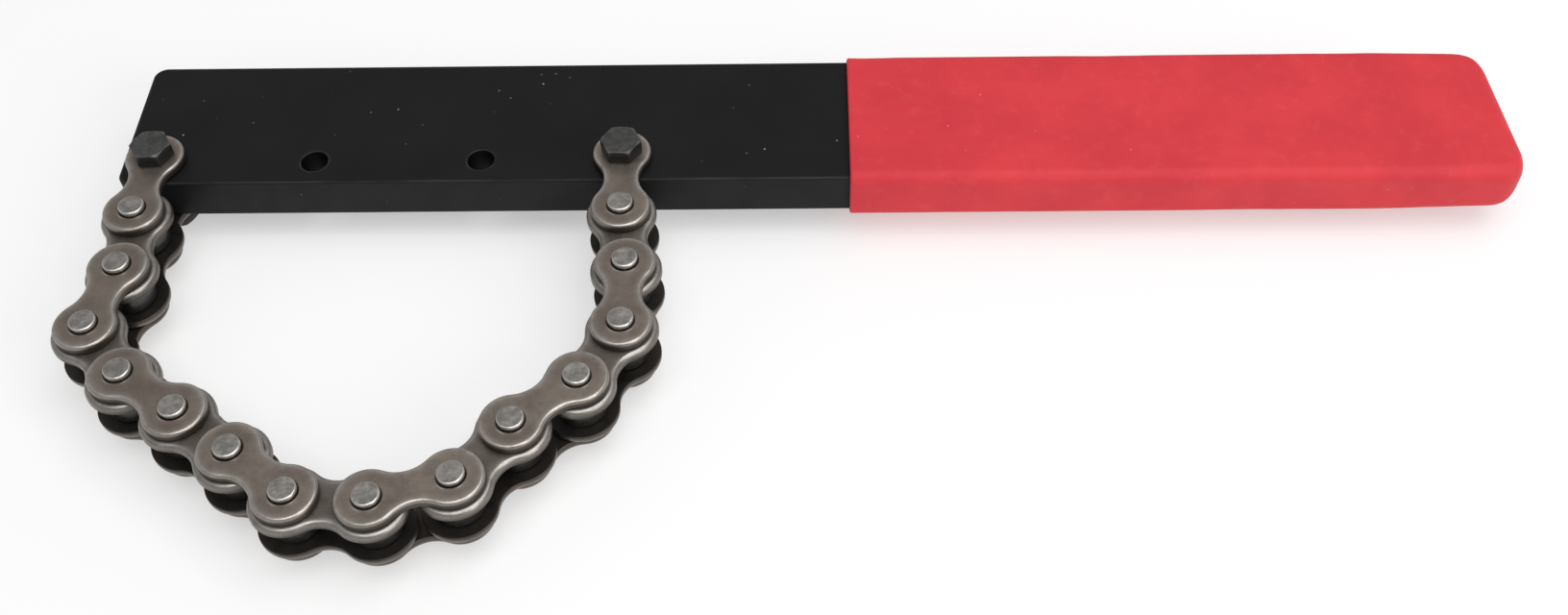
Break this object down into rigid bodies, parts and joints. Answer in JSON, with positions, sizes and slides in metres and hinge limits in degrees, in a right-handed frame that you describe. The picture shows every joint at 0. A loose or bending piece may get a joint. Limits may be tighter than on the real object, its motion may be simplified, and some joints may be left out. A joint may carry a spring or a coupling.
{
  "type": "chain oil filter wrench",
  "caption": "Flat steel bar with a soft red grip sleeve and a roller chain loop bolted through its edge, for gripping and turning an oil filter.",
  "frame": {"origin": "on the bar's edge that bears on the filter, midway between the two chain bolts and halfway through the bar's thickness", "axes": "+X along the bar towards the grip, +Y across the bar away from the chain, +Z the way the bolt heads face"},
  "size_m": [0.312, 0.1283, 0.024],
  "materials": {
    "bar_paint": "satin",
    "grip_vinyl": "matte",
    "plate_steel": "satin",
    "roller_steel": "satin",
    "pin_steel": "satin",
    "bolt_black": "satin"
  },
  "bodies": {
    "handle": {"flat_bar": "bar_paint", "grip_sleeve": "grip_vinyl", "left_chain_bolt": "bolt_black", "left_chain_nut": "bolt_black", "right_chain_bolt": "bolt_black", "right_chain_nut": "bolt_black"},
    "link_01": {"link_01_upper_plate": "plate_steel", "link_01_lower_plate": "plate_steel", "pin_01": "pin_steel"},
    "link_02": {"link_02_inner_frame": "plate_steel"},
    "link_03": {"link_03_upper_plate": "plate_steel", "link_03_lower_plate": "plate_steel", "pin_02": "pin_steel", "pin_03": "pin_steel"},
    "link_04": {"link_04_inner_frame": "plate_steel"},
    "link_05": {"link_05_upper_plate": "plate_steel", "link_05_lower_plate": "plate_steel", "pin_04": "pin_steel", "pin_05": "pin_steel"},
    "link_06": {"link_06_inner_frame": "plate_steel"},
    "link_07": {"link_07_upper_plate": "plate_steel", "link_07_lower_plate": "plate_steel", "pin_06": "pin_steel", "pin_07": "pin_steel"},
    "link_08": {"link_08_inner_frame": "plate_steel"},
    "link_09": {"link_09_upper_plate": "plate_steel", "link_09_lower_plate": "plate_steel", "pin_08": "pin_steel", "pin_09": "pin_steel"},
    "link_10": {"link_10_inner_frame": "plate_steel"},
    "link_11": {"link_11_upper_plate": "plate_steel", "link_11_lower_plate": "plate_steel", "pin_10": "pin_steel", "pin_11": "pin_steel"},
    "link_12": {"link_12_inner_frame": "plate_steel"},
    "link_13": {"link_13_upper_plate": "plate_steel", "link_13_lower_plate": "plate_steel", "pin_12": "pin_steel", "pin_13": "pin_steel"},
    "link_14": {"link_14_inner_frame": "plate_steel"},
    "link_15": {"link_15_upper_plate": "plate_steel", "link_15_lower_plate": "plate_steel", "pin_14": "pin_steel"},
    "roller_body_01": {"roller_01": "roller_steel"},
    "roller_body_02": {"roller_02": "roller_steel"},
    "roller_body_03": {"roller_03": "roller_steel"},
    "roller_body_04": {"roller_04": "roller_steel"},
    "roller_body_05": {"roller_05": "roller_steel"},
    "roller_body_06": {"roller_06": "roller_steel"},
    "roller_body_07": {"roller_07": "roller_steel"},
    "roller_body_08": {"roller_08": "roller_steel"},
    "roller_body_09": {"roller_09": "roller_steel"},
    "roller_body_10": {"roller_10": "roller_steel"},
    "roller_body_11": {"roller_11": "roller_steel"},
    "roller_body_12": {"roller_12": "roller_steel"},
    "roller_body_13": {"roller_13": "roller_steel"},
    "roller_body_14": {"roller_14": "roller_steel"}
  },
  "joints": [
    {"name": "left_bolt_hinge", "type": "hinge", "parent": "handle", "child": "link_01", "pos_m": [-0.05175, 0.0065, 0], "axis": [0, 0, 1], "range_deg": [-20, 20]},
    {"name": "pin_01_hinge", "type": "hinge", "parent": "link_01", "child": "link_02", "pos_m": [-0.05258, -0.00935, 0], "axis": [0, 0, 1], "range_deg": [-20, 20]},
    {"name": "pin_02_hinge", "type": "hinge", "parent": "link_02", "child": "link_03", "pos_m": [-0.05175, -0.02521, 0], "axis": [0, 0, 1], "range_deg": [-21.91, 21.91]},
    {"name": "pin_03_hinge", "type": "hinge", "parent": "link_03", "child": "link_04", "pos_m": [-0.05451, -0.04084, 0], "axis": [0, 0, 1], "range_deg": [-19.27, 19.27]},
    {"name": "pin_04_hinge", "type": "hinge", "parent": "link_04", "child": "link_05", "pos_m": [-0.0443, -0.053, 0], "axis": [0, 0, 1], "range_deg": [-3.96, 3.96]},
    {"name": "pin_05_hinge", "type": "hinge", "parent": "link_05", "child": "link_06", "pos_m": [-0.03122, -0.06199, 0], "axis": [0, 0, 1], "range_deg": [-7.9, 7.9]},
    {"name": "pin_06_hinge", "type": "hinge", "parent": "link_06", "child": "link_07", "pos_m": [-0.01846, -0.07144, 0], "axis": [0, 0, 1], "range_deg": [-12.72, 12.72]},
    {"name": "pin_07_hinge", "type": "hinge", "parent": "link_07", "child": "link_08", "pos_m": [-0.00595, -0.08121, 0], "axis": [0, 0, 1], "range_deg": [-3.97, 3.97]},
    {"name": "pin_08_hinge", "type": "hinge", "parent": "link_08", "child": "link_09", "pos_m": [0.00988, -0.08245, 0], "axis": [0, 0, 1], "range_deg": [-6.31, 6.31]},
    {"name": "pin_09_hinge", "type": "hinge", "parent": "link_09", "child": "link_10", "pos_m": [0.02506, -0.07781, 0], "axis": [0, 0, 1], "range_deg": [-9.88, 9.88]},
    {"name": "pin_10_hinge", "type": "hinge", "parent": "link_10", "child": "link_11", "pos_m": [0.03494, -0.06539, 0], "axis": [0, 0, 1], "range_deg": [-9.68, 9.68]},
    {"name": "pin_11_hinge", "type": "hinge", "parent": "link_11", "child": "link_12", "pos_m": [0.04683, -0.05487, 0], "axis": [0, 0, 1], "range_deg": [-3.89, 3.89]},
    {"name": "pin_12_hinge", "type": "hinge", "parent": "link_12", "child": "link_13", "pos_m": [0.05453, -0.04099, 0], "axis": [0, 0, 1], "range_deg": [-22.2, 22.2]},
    {"name": "pin_13_hinge", "type": "hinge", "parent": "link_13", "child": "link_14", "pos_m": [0.05439, -0.02511, 0], "axis": [0, 0, 1], "range_deg": [-21.19, 21.19]},
    {"name": "pin_14_hinge", "type": "hinge", "parent": "link_14", "child": "link_15", "pos_m": [0.0524, -0.00936, 0], "axis": [0, 0, 1], "range_deg": [-20.84, 20.84]},
    {"name": "roller_01_spin", "type": "hinge", "parent": "link_02", "child": "roller_body_01", "pos_m": [-0.05258, -0.00935, 0], "axis": [0, 0, 1], "continuous": true},
    {"name": "roller_02_spin", "type": "hinge", "parent": "link_02", "child": "roller_body_02", "pos_m": [-0.05175, -0.02521, 0], "axis": [0, 0, 1], "continuous": true},
    {"name": "roller_03_spin", "type": "hinge", "parent": "link_04", "child": "roller_body_03", "pos_m": [-0.05451, -0.04084, 0], "axis": [0, 0, 1], "continuous": true},
    {"name": "roller_04_spin", "type": "hinge", "parent": "link_04", "child": "roller_body_04", "pos_m": [-0.0443, -0.053, 0], "axis": [0, 0, 1], "continuous": true},
    {"name": "roller_05_spin", "type": "hinge", "parent": "link_06", "child": "roller_body_05", "pos_m": [-0.03122, -0.06199, 0], "axis": [0, 0, 1], "continuous": true},
    {"name": "roller_06_spin", "type": "hinge", "parent": "link_06", "child": "roller_body_06", "pos_m": [-0.01846, -0.07144, 0], "axis": [0, 0, 1], "continuous": true},
    {"name": "roller_07_spin", "type": "hinge", "parent": "link_08", "child": "roller_body_07", "pos_m": [-0.00595, -0.08121, 0], "axis": [0, 0, 1], "continuous": true},
    {"name": "roller_08_spin", "type": "hinge", "parent": "link_08", "child": "roller_body_08", "pos_m": [0.00988, -0.08245, 0], "axis": [0, 0, 1], "continuous": true},
    {"name": "roller_09_spin", "type": "hinge", "parent": "link_10", "child": "roller_body_09", "pos_m": [0.02506, -0.07781, 0], "axis": [0, 0, 1], "continuous": true},
    {"name": "roller_10_spin", "type": "hinge", "parent": "link_10", "child": "roller_body_10", "pos_m": [0.03494, -0.06539, 0], "axis": [0, 0, 1], "continuous": true},
    {"name": "roller_11_spin", "type": "hinge", "parent": "link_12", "child": "roller_body_11", "pos_m": [0.04683, -0.05487, 0], "axis": [0, 0, 1], "continuous": true},
    {"name": "roller_12_spin", "type": "hinge", "parent": "link_12", "child": "roller_body_12", "pos_m": [0.05453, -0.04099, 0], "axis": [0, 0, 1], "continuous": true},
    {"name": "roller_13_spin", "type": "hinge", "parent": "link_14", "child": "roller_body_13", "pos_m": [0.05439, -0.02511, 0], "axis": [0, 0, 1], "continuous": true},
    {"name": "roller_14_spin", "type": "hinge", "parent": "link_14", "child": "roller_body_14", "pos_m": [0.0524, -0.00936, 0], "axis": [0, 0, 1], "continuous": true}
  ],
  "couplings": [
    {"joint": "pin_02_hinge", "follows": "left_bolt_hinge", "ratio": -1.0955},
    {"joint": "pin_03_hinge", "follows": "pin_01_hinge", "ratio": -0.9636},
    {"joint": "pin_04_hinge", "follows": "left_bolt_hinge", "ratio": 0.1982},
    {"joint": "pin_05_hinge", "follows": "pin_01_hinge", "ratio": 0.3952},
    {"joint": "pin_06_hinge", "follows": "pin_01_hinge", "ratio": -0.6362},
    {"joint": "pin_07_hinge", "follows": "left_bolt_hinge", "ratio": -0.1985},
    {"joint": "pin_08_hinge", "follows": "pin_01_hinge", "ratio": 0.3154},
    {"joint": "pin_09_hinge", "follows": "left_bolt_hinge", "ratio": 0.4938},
    {"joint": "pin_10_hinge", "follows": "left_bolt_hinge", "ratio": -0.484},
    {"joint": "pin_11_hinge", "follows": "pin_01_hinge", "ratio": -0.1946},
    {"joint": "pin_12_hinge", "follows": "pin_01_hinge", "ratio": 1.1099},
    {"joint": "pin_13_hinge", "follows": "left_bolt_hinge", "ratio": 1.0593},
    {"joint": "pin_14_hinge", "follows": "pin_01_hinge", "ratio": -1.0419}
  ]
}
